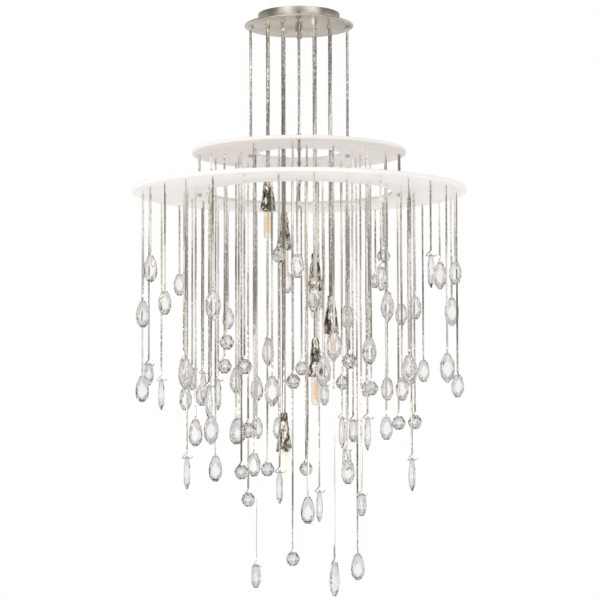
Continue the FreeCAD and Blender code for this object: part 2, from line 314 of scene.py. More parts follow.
def beaten_leaf_with_painted_reflections(finish):
    """Leaf that is smoked between the hammer's marks, with painted highlights and painted dark reflections on
    the same patches.
    """
    patches = finish.noise(scale=110, vector=finish.stretched(0.45))
    fine = finish.noise(scale=500)
    # This mask is partly smoke on the leaf and partly painted dark reflection; where it is low, the leaf is
    # partly a painted highlight.
    smoke_and_reflection_mask = (patches * 0.85 + fine * 0.15).ramp(0.44, 0.58)
    return {
        "Base Color": finish.blend(smoke_and_reflection_mask, LEAF_BEATEN_AND_HIGHLIGHT, LEAF_SMOKED_AND_DARK_REFLECTION),
        "Roughness": fine * 0.1 + smoke_and_reflection_mask * 0.08 + 0.03,
        "Normal": finish.bump(patches, 0.7, 1.5 * MM),
    }


def satin_leaf(finish):
    """Soft clouds and almost no relief."""
    cloud = finish.noise(scale=14, detail=4, roughness=0.55)
    fine = finish.noise(scale=650)
    return {
        "Base Color": finish.blend(cloud.ramp(0.35, 0.7), CANOPY_LIGHT, CANOPY_DARK),
        "Roughness": fine * 0.12 + cloud * 0.1 + 0.17,
        "Normal": finish.bump(fine, 0.25, 0.2 * MM),
    }


cup_silver = material("hammered_cup_silver", METAL, beaten_leaf_with_painted_reflections)
canopy_silver = material("satin_canopy_silver", METAL, satin_leaf)
print("beaten and satin silver:", cup_silver.name, canopy_silver.name)

# %% [markdown]
# ## Plaster white
# The rings are matte white with the faint unevenness of brushed plaster: a wide cloud moves between two
# near whites and swells the surface, and a fine grain roughens it.

# %% Plaster
PLASTER_LIGHT = (0.935, 0.90, 0.875, 1)
PLASTER_SHADE = (0.89, 0.855, 0.83, 1)


def plaster(finish):
    cloud = finish.noise(scale=9, detail=4, roughness=0.6)
    grain = finish.noise(scale=320, detail=3, roughness=0.6)
    return {
        "Base Color": finish.blend(cloud.ramp(0.35, 0.7), PLASTER_LIGHT, PLASTER_SHADE),
        "Roughness": grain * 0.2 + 0.52,
        "Normal": finish.bump(grain + cloud * 2.0, 0.35, 0.5 * MM),
    }


ring_plaster = material("plaster_white", {"Specular IOR Level": 0.4}, plaster)
print("plaster:", ring_plaster.name)

# %% [markdown]
# ## Crystal, lamp glass and glow
# Crystal is a plain glass of high index: all its looks come from its cut facets. A lamp is thin warm
# glass, with a glowing filament in a capsule that its light tints. The lowest lamp is frosted, so it is
# an even pale glow. The glow is weak, because in daylight a lit lamp is hardly brighter than white.

# %% Glass and glow
crystal_glass = material("cut_crystal", {
    "Base Color": (0.99, 0.975, 0.955, 1), "Roughness": 0.0, "IOR": 1.54, "Transmission Weight": 1.0,
})
lamp_glass = material("lamp_glass", {
    "Base Color": (1.0, 0.965, 0.90, 1), "Roughness": 0.0, "IOR": 1.46, "Transmission Weight": 1.0,
})
filament_glow = material("filament_glow", {
    "Base Color": (0.3, 0.14, 0.04, 1), "Emission Color": (0.86, 0.36, 0.09, 1), "Emission Strength": 1.0,
})
capsule_glow = material("capsule_glow", {
    "Base Color": (0.92, 0.82, 0.64, 1), "Alpha": 0.3,
    "Emission Color": (1.0, 0.76, 0.48, 1), "Emission Strength": 0.36,
})
frosted_glow = material("frosted_lamp", {
    "Base Color": (0.86, 0.83, 0.75, 1), "Roughness": 0.4,
    "Emission Color": (1.0, 0.92, 0.76, 1), "Emission Strength": 0.25,
})
print("glass:", crystal_glass.name, lamp_glass.name)
print("glow:", filament_glow.name, capsule_glow.name, frosted_glow.name)

# %% [markdown]
# ## Plated and moulded parts
# The hidden strap is zinc-plated, lamp caps are brassy nickel and the holders are moulded in ivory. One
# recipe serves all three: a cloud that shades the colour a little and unsettles the gloss.

# %% Plain finishes
ZINC = (0.58, 0.58, 0.57, 1)
CAP_NICKEL = (0.72, 0.66, 0.52, 1)
IVORY = (0.78, 0.73, 0.62, 1)


def speckled(colour, shade):
    """A recipe for a plain finish whose clouds are darker by a shade."""
    darker = tuple(c * shade for c in colour[:3]) + (1,)

    def recipe(finish):
        cloud = finish.noise(scale=90, detail=3)
        return {
            "Base Color": finish.blend(cloud.ramp(0.3, 0.75), colour, darker),
            "Roughness": cloud * 0.2 + 0.3,
        }
    return recipe


zinc_plate = material("zinc_plate", METAL, speckled(ZINC, 0.8))
cap_metal = material("cap_metal", METAL, speckled(CAP_NICKEL, 0.85))
holder_plastic = material("ivory_holder", {"IOR": 1.5}, speckled(IVORY, 0.92))
print("plain finishes:", zinc_plate.name, cap_metal.name, holder_plastic.name)

# %% [markdown]
# ## The camera
# The photograph looks up a little from the height of the lower crystals, from over four metres away. Its
# frame is square, and the lens is long enough that the rings look flat and thin.

# %% Camera
CAMERA_PLACE = (0, -4.4, -0.9518)
CAMERA_TILT = 4.328
CAMERA_ROLL = 0.15
LENS = 123.9

camera_data = bpy.data.cameras.new("camera")
camera_data.lens = LENS
camera_data.sensor_width = 36
camera = bpy.data.objects.new("camera", camera_data)
camera.location = CAMERA_PLACE
camera.rotation_euler = (radians(90 + CAMERA_TILT), radians(CAMERA_ROLL), 0)
bpy.context.scene.collection.objects.link(camera)
bpy.context.scene.camera = camera
print("camera at", CAMERA_PLACE, "with a lens of", LENS, "mm")

# %% [markdown]
# ## Working as by hand
# Every piece below starts as a primitive and is shaped in edit mode. Operators act on whatever is
# selected, so these helpers always clear the selection first and then pick faces, edges or corners by
# a rule about their place.

# %% Helpers for selecting
def select_only(*pieces):
    bpy.ops.object.select_all(action="DESELECT")
    for piece in pieces:
        piece.select_set(True)
    bpy.context.view_layer.objects.active = pieces[-1]


def edit(piece):
    select_only(piece)
    bpy.ops.object.mode_set(mode="EDIT")


def done():
    bpy.ops.object.mode_set(mode="OBJECT")


def pick_all():
    bpy.ops.mesh.select_all(action="SELECT")


def pick(kind, rule):
    """In edit mode, selects only the faces or edges that a rule is true for."""
    bpy.ops.mesh.select_mode(type={"faces": "FACE", "edges": "EDGE"}[kind])
    bpy.ops.mesh.select_all(action="DESELECT")
    mesh = bmesh.from_edit_mesh(bpy.context.object.data)
    for part in getattr(mesh, kind):
        if rule(part):
            part.select_set(True)
    bmesh.update_edit_mesh(bpy.context.object.data)


def pick_climbing(reach):
    """Selects the edges that climb by more than a reach."""
    pick("edges", lambda e: abs(e.verts[0].co.z - e.verts[1].co.z) > reach)


def pick_level(way):
    """Selects the level faces that look up, for a way of 1, or down, for -1."""
    pick("faces", lambda f: f.normal.z * way > 0.9)


print("helpers for selecting ready")

# %% [markdown]
# ## Naming, drawing up and finishing
# A primitive is added at its place, and its place then goes into its mesh, so that every finished object
# sits at the origin. Cups, tubes and caps all narrow upwards in short steps, which one helper draws.

# %% Helpers for shaping
def added(name):
    """Names the primitive that was just added."""
    piece = bpy.context.object
    piece.name = piece.data.name = name
    return piece


def placed(name):
    """Names the primitive that was just added, and moves its place into its mesh."""
    piece = added(name)
    bpy.ops.object.transform_apply(location=True)
    return piece


def draw_up(steps, x, y):
    """Extrudes the selected face upwards in steps, each a rise and a share of the width, round an axis."""
    for rise, share in steps:
        bpy.ops.mesh.extrude_region_move(TRANSFORM_OT_translate={"value": (0, 0, rise)})
        bpy.ops.transform.resize(value=(share, share, 1), center_override=(x, y, 0))


def smooth(piece, angle):
    """Smooths every edge that is flatter than an angle in degrees."""
    select_only(piece)
    bpy.ops.object.shade_smooth_by_angle(angle=radians(angle))


def modify(piece, kind, **settings):
    """Adds a modifier, sets it, and applies it."""
    select_only(piece)
    modifier = piece.modifiers.new(kind.lower(), kind)
    for key, value in settings.items():
        setattr(modifier, key, value)
    bpy.ops.object.modifier_apply(modifier=modifier.name)


print("helpers for shaping ready")

# %% [markdown]
# ## Copies and what they stand for
# What repeats is modelled once, copied with its own mesh and joined. A finished piece then gets its
# material, the body that it rides on, and the imported nodes that it takes the place of.

# %% Helpers for copies and handing over
BODY = "chandelier_frame"


def copy_of(master, name, move):
    """A copy with its own mesh, whose place is in that mesh."""
    piece = bpy.data.objects.new(name, master.data.copy())
    piece.data.name = name
    bpy.context.scene.collection.objects.link(piece)
    piece.data.transform(move)
    return piece


def joined(pieces, name):
    """Several objects as one."""
    select_only(*pieces)
    if len(pieces) > 1:
        bpy.ops.object.join()
    return added(name)


def drop_away(*pieces):
    """Removes masters once their copies are made."""
    for piece in pieces:
        bpy.data.objects.remove(piece)


def settle(piece, body, slot, finish, *nodes):
    """Paints a finished piece and says what it rides on and which nodes it stands for."""
    piece.data.materials.clear()
    piece.data.materials.append(finish)
    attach(piece, body)
    if nodes:
        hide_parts(*nodes)
    print(piece.name, "has", len(piece.data.polygons), "faces and rides on", body)


print("helpers ready; fixed pieces ride on", BODY)

# %% [markdown]
# ## A hammered rod with its hook
# The rod is a bar of iron, hammered to six slightly twisted flats. Its lower end is drawn out to a wire
# and bent: it slants aside, turns back as a level pin under the rod's own axis, and its tip turns up so
# the crystal can't slide off. One master is modelled with its pin at the origin. Its hook grows out of
# the rod's end face, extruded section by section along the bend and thinner each time, as a smith would
# draw it out. Each new section leans halfway into the next bend, so the corners are mitred.

# %% The hook's line
ROD_R = 2.2 * MM
HOOK_DROP = 14 * MM

# Points in the plane of the bend, from the rod's end to the tip, each with the wire's radius, in mm
HOOK_LINE = [
    ((0, 13.2), 2.05), ((-0.35, 11.9), 1.75), ((-1.2, 10.6), 1.5), ((-4.4, 7.3), 1.32), ((-8.2, 3.4), 1.27),
    ((-9.6, 1.9), 1.25), ((-9.9, 0.8), 1.25), ((-9.2, 0.1), 1.25), ((-8.0, 0), 1.25), ((0, 0), 1.25),
    ((8.6, 0), 1.25), ((9.8, 0.35), 1.25), ((10.7, 1.3), 1.2), ((11.6, 3.4), 1.1), ((11.8, 4.0), 0.7),
]


def heading_to(start, end):
    return atan2(end[1] - start[1], end[0] - start[0])


def wrapped(angle):
    """The same turn, between -pi and pi."""
    return (angle + pi) % (2 * pi) - pi


def draw_out(line):
    """Extrudes the selected end face along a line in the XZ plane."""
    at, radius, lean = (0, HOOK_DROP / MM), ROD_R / MM, -pi / 2
    for i, (point, next_radius) in enumerate(line):
        heading = heading_to(at, point)
        leaving = heading_to(point, line[i + 1][0]) if i + 1 < len(line) else heading
        facing = heading + wrapped(leaving - heading) / 2
        step = Vector((point[0] - at[0], 0, point[1] - at[1])) * MM
        centre = (point[0] * MM, 0, point[1] * MM)
        bpy.ops.mesh.extrude_region_move(TRANSFORM_OT_translate={"value": step})
        bpy.ops.transform.rotate(value=wrapped(facing - lean), orient_axis="Y", center_override=centre)
        share = next_radius / radius
        bpy.ops.transform.resize(value=(share, share, share), center_override=centre)
        at, radius, lean = point, next_radius, facing


print("the hook has", len(HOOK_LINE), "sections")

# %% [markdown]
# ## The master rod
# The master is as long as the longest drop needs. It is subdivided into short bands first, because the
# twist and later the hammer can only move corners that are there.

# %% Bar, twist and hook
ROD_SIDES = 6
BAND = 6 * MM
TWIST_PER_METRE = 1.3
SPARE_LENGTH = 15 * MM
ROD_LENGTH = max(d["top"] - d["pin"] for row in ROWS for d in drops[row]) + SPARE_LENGTH
BAR_LENGTH = ROD_LENGTH - HOOK_DROP


def twist(piece, length):
    """Turns a bar's flats slowly along its length, as hammering by hand does."""
    modify(piece, "SIMPLE_DEFORM", deform_method="TWIST", deform_axis="Z", angle=TWIST_PER_METRE * length)


bpy.ops.mesh.primitive_cylinder_add(
    vertices=ROD_SIDES, radius=ROD_R, depth=BAR_LENGTH, location=(0, 0, (ROD_LENGTH + HOOK_DROP) / 2)
)
rod_master = placed("rod_master")
edit(rod_master)
pick_climbing(BAND)
bpy.ops.mesh.subdivide(number_cuts=round(BAR_LENGTH / BAND) - 1)
done()
twist(rod_master, BAR_LENGTH)
edit(rod_master)
pick_level(-1)
draw_out(HOOK_LINE)
done()
hook_width = round(rod_master.dimensions.x / MM, 1)
print("master rod:", len(rod_master.data.polygons), "faces, hook width", hook_width, "mm")

# %% [markdown]
# ## Eighty-eight rods
# Each rod is a copy of the master, cut to length just above its ring by a level plane, turned about its
# own axis and moved to its place. The hammer marks come after the copies are joined: one displacement
# pattern fixed in space then dents every rod differently.

# %% Copy, cut and hammer the rods
RING_TOP = {"lower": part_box("lower_ring")[1].z, "upper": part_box("upper_ring")[1].z}
ROD_PROUD = 2.5 * MM
ROD_DENT = 9 * MM
ROD_DENT_DEPTH = 0.4 * MM


def slice_off(piece, place, normal):
    """Cuts off what lies beyond a plane, on the side that its normal points to, and closes the cut."""
    edit(piece)
    pick_all()
    bpy.ops.mesh.bisect(plane_co=place, plane_no=normal, use_fill=True, clear_outer=True)
    done()


def hammer(piece, size, depth, name, kind="CLOUDS"):
    """Dents a piece with a pattern of a size and depth."""
    pattern = bpy.data.textures.new(name, kind)
    pattern.noise_scale = size
    modify(piece, "DISPLACE", texture=pattern, texture_coords="LOCAL", strength=depth, mid_level=0.5)


for row in ROWS:
    rods = []
    for number, drop in enumerate(drops[row], 1):
        top = RING_TOP[row.split("_")[0]] + ROD_PROUD
        turn = Matrix.Rotation(drop["turn"], 4, "Z")
        rod = copy_of(rod_master, "%s_rod_%02d" % (row, number), turn)
        slice_off(rod, (0, 0, top - drop["pin"]), (0, 0, 1))
        rod.data.transform(Matrix.Translation((drop["x"], drop["y"], drop["pin"])))
        rods.append(rod)
    rods = joined(rods, row + "_rods_hammered")
    hammer(rods, ROD_DENT, ROD_DENT_DEPTH, row + "_dents")
    smooth(rods, 25)
    settle(rods, BODY, "silver_metal", rod_silver, row + "_rods")
drop_away(rod_master)

# %% [markdown]
# ## The five cuts of crystal
# A crystal is cut from a rough blank. Here the blank is drawn downwards from a small top facet, one belt
# of facets at a time, each belt turned by half a facet so that its quads fold into kites. The long cuts
# are thinner than wide and get two flat tables, which they show to the front and back. The ball is round
# all over. The pin runs along X, so the tables face X too.

# %% Blanks
BELT_SIDES = 8

# Height, width and thickness in mm, the share of the thickness between the tables, or 0 for none, and
# the belts from the top down, each as its share of the height and of the width
CUTS = {
    "pear": (56, 32, 22, 0.8, [(0, 0.28), (0.1, 0.52), (0.32, 0.82), (0.6, 1), (0.84, 0.8), (1, 0.3)]),
    "almond": (62, 34, 17, 0.78, [(0, 0.24), (0.12, 0.54), (0.34, 0.86), (0.56, 1), (0.8, 0.76), (1, 0.18)]),
    "egg": (48, 28, 24, 0.8, [(0, 0.4), (0.14, 0.72), (0.42, 0.97), (0.66, 0.98), (0.88, 0.7), (1, 0.36)]),
    "ball": (30, 31, 31, 0, [(0, 0.4), (0.18, 0.78), (0.5, 1), (0.82, 0.78), (1, 0.4)]),
    "leaf": (70, 26, 17, 0.78, [(0, 0.28), (0.1, 0.56), (0.34, 0.88), (0.58, 1), (0.82, 0.78), (1, 0.24)]),
}


def blank(cut, height, width, belts):
    """A faceted blank, as thick as it is wide, with its pin hole's middle at the origin."""
    top = HOLE_TO_TOP
    at, share = belts[0]
    bpy.ops.mesh.primitive_circle_add(
        vertices=BELT_SIDES, radius=width * share / 2, fill_type="NGON", location=(0, 0, top)
    )
    piece = placed(cut + "_master")
    edit(piece)
    pick_all()
    for next_at, next_share in belts[1:]:
        centre = (0, 0, top - height * next_at)
        grow = next_share / share
        bpy.ops.mesh.extrude_region_move(TRANSFORM_OT_translate={"value": (0, 0, -height * (next_at - at))})
        bpy.ops.transform.resize(value=(grow, grow, 1), center_override=centre)
        bpy.ops.transform.rotate(value=pi / BELT_SIDES, orient_axis="Z", center_override=centre)
        at, share = next_at, next_share
    pick_all()
    bpy.ops.mesh.normals_make_consistent(inside=False)
    bpy.ops.mesh.quads_convert_to_tris(quad_method="SHORTEST_DIAGONAL")
    done()
    return piece


print("crystal cuts:", ", ".join(CUTS))

# %% [markdown]
# ## Tables, shoulders and pin holes
# Plane cuts finish the blanks. Two upright ones leave the flat tables of the long cuts. The ball has
# none, and two sloped ones take off its shoulders instead, so that the hook's slanting leg clears it,
# also when it swings. Last, a drill opens the hole for the pin.

# %% Cut and drill the masters
PIN_HOLE_R = 1.75 * MM
DRILL_SIDES = 10
SHOULDER = 7.5 * MM
SHOULDER_SLOPE = (0.82, 0.57)


def flatten(piece, share):
    """Thins a blank along X."""
    edit(piece)
    pick_all()
    bpy.ops.transform.resize(value=(share, 1, 1), center_override=(0, 0, 0))
    done()


def drill(piece, reach):
    """Drills the pin's hole right through."""
    bpy.ops.mesh.primitive_cylinder_add(
        vertices=DRILL_SIDES, radius=PIN_HOLE_R, depth=reach, rotation=(0, pi / 2, 0), location=(0, 0, 0)
    )
    drill_bit = added("drill_bit")
    modify(piece, "BOOLEAN", object=drill_bit, operation="DIFFERENCE", solver="EXACT")
    drop_away(drill_bit)


masters = {}
for cut, (height, width, thick, table, belts) in CUTS.items():
    piece = blank(cut, height * MM, width * MM, belts)
    flatten(piece, thick / width)
    for side in (-1, 1):
        if table:
            slice_off(piece, (side * thick * MM * table / 2, 0, 0), (side, 0, 0))
        else:
            slice_off(piece, (side * SHOULDER, 0, 0), (side * SHOULDER_SLOPE[0], 0, SHOULDER_SLOPE[1]))
    drill(piece, 2 * width * MM)
    masters[cut] = piece
    print(cut, "crystal:", len(piece.data.polygons), "facets")

# %% [markdown]
# ## Hanging the crystals
# The lower ring's crystals are two fixed rows, so each row becomes one piece. Each of the upper ring's
# crystals swings on its own pin, so it stays a piece of its own and rides on the body of the solid
# that it stands for, found by its place.

# %% Copies of the cut crystals
def hang(drop, name):
    """A copy of the right master on a drop's pin, turned with its hook."""
    turn = Matrix.Rotation(drop["turn"], 4, "Z")
    place = Matrix.Translation((drop["x"], drop["y"], drop["pin"]))
    return copy_of(masters[drop["cut"]], name, place @ turn)


def node_at(drop, row):
    """The node of the crystal that hangs on a drop's pin."""
    def miss(node):
        low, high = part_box(node)
        return hypot((low.x + high.x) / 2 - drop["x"], (low.y + high.y) / 2 - drop["y"])

    return min((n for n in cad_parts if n.startswith(row + "_crystal_")), key=miss)


for row in ("lower_outer", "lower_inner"):
    crystals = [hang(drop, "%s_cut_%02d" % (row, i)) for i, drop in enumerate(drops[row], 1)]
    crystals = joined(crystals, row + "_crystals_cut")
    settle(crystals, BODY, "crystal", crystal_glass, row + "_crystals")
for row in ("upper_outer", "upper_inner"):
    for drop in drops[row]:
        node = node_at(drop, row)
        settle(hang(drop, node + "_cut"), node, "crystal", crystal_glass, node)
drop_away(*masters.values())

# %% [markdown]
# ## The two rings
# A ring is a disc with its middle taken out: a filled circle is inset by the ring's width, the inner
# face is deleted, what is left is raised to the ring's thickness, and every sharp edge is rounded,
# which gives the bright line that the rings show all round their rim.

# %% Rings with rounded edges
RING_STEPS = 192
RING_ROUNDING = 2.4 * MM


def measured_ring(node):
    """A ring's outer and inner radius and its underside and top."""
    radii = [hypot(v.co.x, v.co.y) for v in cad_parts[node].data.vertices]
    low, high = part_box(node)
    return (high.y - low.y) / 2, min(radii), low.z, high.z


def flat_ring(name, outer, inner, low, high, rounding):
    """A flat ring between two radii and two heights, with its edges rounded."""
    bpy.ops.mesh.primitive_circle_add(
        vertices=RING_STEPS, radius=outer, fill_type="NGON", location=(0, 0, low)
    )
    piece = placed(name)
    edit(piece)
    pick_all()
    bpy.ops.mesh.inset(thickness=outer - inner)
    bpy.ops.mesh.delete(type="FACE")
    pick_all()
    bpy.ops.mesh.extrude_region_move(TRANSFORM_OT_translate={"value": (0, 0, high - low)})
    pick_all()
    bpy.ops.mesh.normals_make_consistent(inside=False)
    done()
    modify(piece, "BEVEL", width=rounding, segments=4, limit_method="ANGLE", angle_limit=radians(40))
    smooth(piece, 30)
    return piece


for node in ("upper_ring", "lower_ring"):
    outer, inner, low, high = measured_ring(node)
    ring = flat_ring(node + "_plastered", outer, inner, low, high, RING_ROUNDING)
    settle(ring, BODY, "ring_white", ring_plaster, node)
    print(node, "radii", round(outer, 4), round(inner, 4))

# %% [markdown]
# ## Nuts on the rods above the rings
# Each drop rod comes through its ring and is held by a small cap nut on top, which shows only from
# above. One nut is modelled: a hexagon with its top edge bevelled, and it is copied to every rod.

# %% Cap nuts
NUT_ACROSS = 7 * MM
NUT_HEIGHT = 3.4 * MM
NUT_BEVEL = 1.1 * MM

bpy.ops.mesh.primitive_cylinder_add(
    vertices=6, radius=NUT_ACROSS / 2 / cos(pi / 6), depth=NUT_HEIGHT, location=(0, 0, NUT_HEIGHT / 2)
)
nut_master = placed("nut_master")
edit(nut_master)
pick("edges", lambda e: min(v.co.z for v in e.verts) > NUT_HEIGHT / 2)
bpy.ops.mesh.bevel(offset=NUT_BEVEL, segments=2)
done()
for tier in ("lower", "upper"):
    nuts = [
        copy_of(nut_master, "nut", Matrix.Translation((d["x"], d["y"], RING_TOP[tier])))
        for row in ROWS if row.startswith(tier) for d in drops[row]
    ]
    settle(joined(nuts, tier + "_ring_cap_nuts"), BODY, "silver_metal", canopy_silver)
drop_away(nut_master)

# %% [markdown]
# ## The canopy
# The plate is a thin disc with a hole for the nipple, and the collar is a short open drum. Both are flat
# rings too, so the same helper makes them, with tighter edges as on turned metal. Their screws and nuts
# stay as packed and only take the finish.

# %% Plate and collar
NIPPLE_HOLE_R = 5 * MM
PLATE_ROUNDING = 1.1 * MM
COLLAR_ROUNDING = 0.5 * MM

outer, inner, low, high = measured_ring("canopy_plate")
plate = flat_ring("canopy_plate_rounded", outer, NIPPLE_HOLE_R, low, high, PLATE_ROUNDING)
settle(plate, BODY, "canopy_metal", canopy_silver, "canopy_plate")
outer, inner, low, high = measured_ring("canopy_collar")
collar = flat_ring("canopy_collar_rounded", outer, inner, low, high, COLLAR_ROUNDING)
settle(collar, BODY, "canopy_metal", canopy_silver, "canopy_collar")

# %% [markdown]
# ## Stems and hang rods
# The stems that feed the lamps and the rods that carry the rings are hammered bars too, only thicker and
# rounder than the drop rods. Each solid's box gives its place and length.

# %% Round hammered bars in place of the plain ones
BAR_SIDES = 10
STEM_R = 4.3 * MM
HANG_R = 3.0 * MM
BAR_DENT = 12 * MM
BAR_DENT_DEPTH = 0.5 * MM


def round_bars(node, radius, name):
    """One bar for each solid of a node, joined."""
    bars = []
    for points in islands(node):
        low, high = extent(points)
        length = high.z - low.z
        bpy.ops.mesh.primitive_cylinder_add(vertices=BAR_SIDES, radius=radius, depth=length)
        piece = added(name)
        edit(piece)
        pick_climbing(BAND)
        bpy.ops.mesh.subdivide(number_cuts=round(length / BAND))
        done()
        twist(piece, length)
        piece.data.transform(Matrix.Translation((low + high) / 2))
        bars.append(piece)
    return joined(bars, name)


for node, radius in (("lamp_stems", STEM_R), ("upper_hang_rods", HANG_R), ("lower_hang_rods", HANG_R)):
    bars = round_bars(node, radius, node + "_hammered")
    hammer(bars, BAR_DENT, BAR_DENT_DEPTH, node + "_dents")
    smooth(bars, 25)
    settle(bars, BODY, "silver_metal", stem_silver, node)

# %% [markdown]
# ## The lamp cups
# A cup is a narrow cone of beaten silver with a rounded top. A cone is subdivided into small fields,
# its top is drawn in to a dome round the stem, and its mouth is opened. A pattern of large cells then
# dents it deeply, and only after that does the sheet get its thickness, so that the inside follows the
# outside.

# %% Beaten cups
CUP_R_MOUTH = 17 * MM
CUP_R_TOP = 7.5 * MM
CUP_SIDES = 48
CUP_BANDS = 34
CUP_SHEET = 1.1 * MM
CUP_DENT = 13 * MM
CUP_DENT_DEPTH = 3.0 * MM
DOME = 5 * MM
DOME_STEPS = ((2.6 * MM, 0.93), (1.6 * MM, 0.84), (0.8 * MM, 0.72))


def plain_cup(points):
    """An open cone with a domed top, in the place of one packed cup."""
    low, high = extent(points)
    x, y = (low.x + high.x) / 2, (low.y + high.y) / 2
    length = high.z - low.z - DOME
    bpy.ops.mesh.primitive_cone_add(
        vertices=CUP_SIDES, radius1=CUP_R_MOUTH, radius2=CUP_R_TOP, depth=length, end_fill_type="NGON",
        location=(x, y, low.z + length / 2),
    )
    cup = placed("cup")
    edit(cup)
    pick_climbing(length / 2)
    bpy.ops.mesh.subdivide(number_cuts=CUP_BANDS - 1)
    pick_level(1)
    draw_up(DOME_STEPS, x, y)
    pick_level(-1)
    bpy.ops.mesh.delete(type="FACE")
    done()
    return cup


cups = joined([plain_cup(points) for points in islands("lamp_cups")], "lamp_cups_beaten")
hammer(cups, CUP_DENT, CUP_DENT_DEPTH, "cup_dents", "VORONOI")
modify(cups, "SOLIDIFY", thickness=CUP_SHEET, offset=-1)
smooth(cups, 35)
settle(cups, BODY, "silver_metal", cup_silver, "lamp_cups")

# %% [markdown]
# ## The lamps' glass
# A tube lamp is a clear glass tube with a rounded end, and inside it hangs a slimmer capsule round the
# filament. Both are modelled alike: a cylinder whose top is drawn in to a neck and whose lower edge is
# bevelled to a half round.

# %% Glass tubes
TUBE_SIDES = 28
NECK_STEPS = ((2.2 * MM, 0.93), (2.0 * MM, 0.86), (1.6 * MM, 0.80))
NECK = sum(rise for rise, share in NECK_STEPS)
EDGE_REACH = 0.1 * MM
END_ROUNDNESS = 0.88


def lamp_tube(name, x, y, low, high, radius):
    """A tube between two heights, with a round lower end and a neck at its top."""
    shoulder = high - NECK
    bpy.ops.mesh.primitive_cylinder_add(
        vertices=TUBE_SIDES, radius=radius, depth=shoulder - low, location=(x, y, (shoulder + low) / 2)
    )
    tube = placed(name)
    edit(tube)
    pick_level(1)
    draw_up(NECK_STEPS, x, y)
    pick("edges", lambda e: max(v.co.z for v in e.verts) < low + EDGE_REACH)
    bpy.ops.mesh.bevel(offset=radius * END_ROUNDNESS, segments=7)
    done()
    return tube


print("a lamp's neck is", round(NECK / MM, 1), "mm high")

# %% [markdown]
# ## The lamps' caps
# The screw cap hides in its holder until the lamp is drawn out. It is one disc, extruded upwards in
# steps that swell and shrink by turns, which gives rolled thread ridges, and ends in a narrow contact.

# %% Screw caps
CAP_R = 5.9 * MM
CAP_FOOT_SHARE = 0.97
CAP_SIDES = 20
RIDGES = 5
RIDGE_SHARE = 0.93
CONTACT_STEPS = ((2 * MM, 0.55), (1.9 * MM, 0.8))
CONTACT = 4 * MM


def screw_cap(name, x, y, low, high):
    """A cap with a few rolled thread ridges and a contact at its top."""
    foot = CAP_R * CAP_FOOT_SHARE
    bpy.ops.mesh.primitive_circle_add(vertices=CAP_SIDES, radius=foot, fill_type="NGON", location=(x, y, low))
    cap = placed(name)
    edit(cap)
    pick_all()
    rise = (high - low - CONTACT) / RIDGES / 2
    draw_up(RIDGES * ((rise, 1 / RIDGE_SHARE), (rise, RIDGE_SHARE)), x, y)
    draw_up(CONTACT_STEPS, x, y)
    pick_all()
    bpy.ops.mesh.normals_make_consistent(inside=False)
    done()
    smooth(cap, 50)
    return cap


print("each cap has", RIDGES, "ridges")

# %% [markdown]
# ## The filament and its leads
# Thin wires are easiest as curves: points in space, a round section, and a conversion to a mesh. The
# filament runs down the capsule and up again as a long hairpin, and two leads carry it from the cap.

# %% Wires
WIRE_ASIDE = 0.8 * MM
BEND_ASIDE = 0.6 * MM
BEND_RISE = 3 * MM


def wire(name, points, radius):
    """A thin round wire through points."""
    curve = bpy.data.curves.new(name, "CURVE")
    curve.dimensions = "3D"
    curve.bevel_depth = radius
    curve.bevel_resolution = 1
    curve.resolution_u = 3
    spline = curve.splines.new("NURBS")
    spline.points.add(len(points) - 1)
    for point, co in zip(spline.points, points):
        point.co = (*co, 1)
    spline.use_endpoint_u = True
    spline.order_u = 3
    piece = bpy.data.objects.new(name, curve)
    bpy.context.scene.collection.objects.link(piece)
    select_only(piece)
    bpy.ops.object.convert(target="MESH")
    return bpy.context.object


def hairpin(x, y, foot, head):
    """The filament's line in its capsule: down, round and up again."""
    lowest, bend = foot + BEND_RISE, foot + 2 * BEND_RISE
    down = [(x - WIRE_ASIDE, y, head), (x - WIRE_ASIDE, y, bend), (x - BEND_ASIDE, y, lowest)]
    up = [(x + BEND_ASIDE, y, lowest), (x + WIRE_ASIDE, y, bend), (x + WIRE_ASIDE, y, head)]
    return down + up


print("the filament's wires are", round(2 * WIRE_ASIDE / MM, 1), "mm apart")

# %% [markdown]
# ## Six lamps
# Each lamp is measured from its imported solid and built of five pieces, which all ride on its own body,
# so that glass, cap and filament come down together when the lamp is unscrewed.

# %% Build the lamps
LAMP_R = 9.5 * MM
LAMP_GLASS = 0.7 * MM
CAP_LENGTH = 18 * MM
CAPSULE_R = 6 * MM
CAPSULE_FOOT = 11 * MM
CAPSULE_HEAD = 50 * MM
FILAMENT_R = 0.6 * MM
LEAD_R = 0.35 * MM
LEAD_ASIDE = 1.8 * MM
LEAD_INSIDE = 1 * MM
LEAD_UPRIGHT = 4 * MM
FROSTED = 6

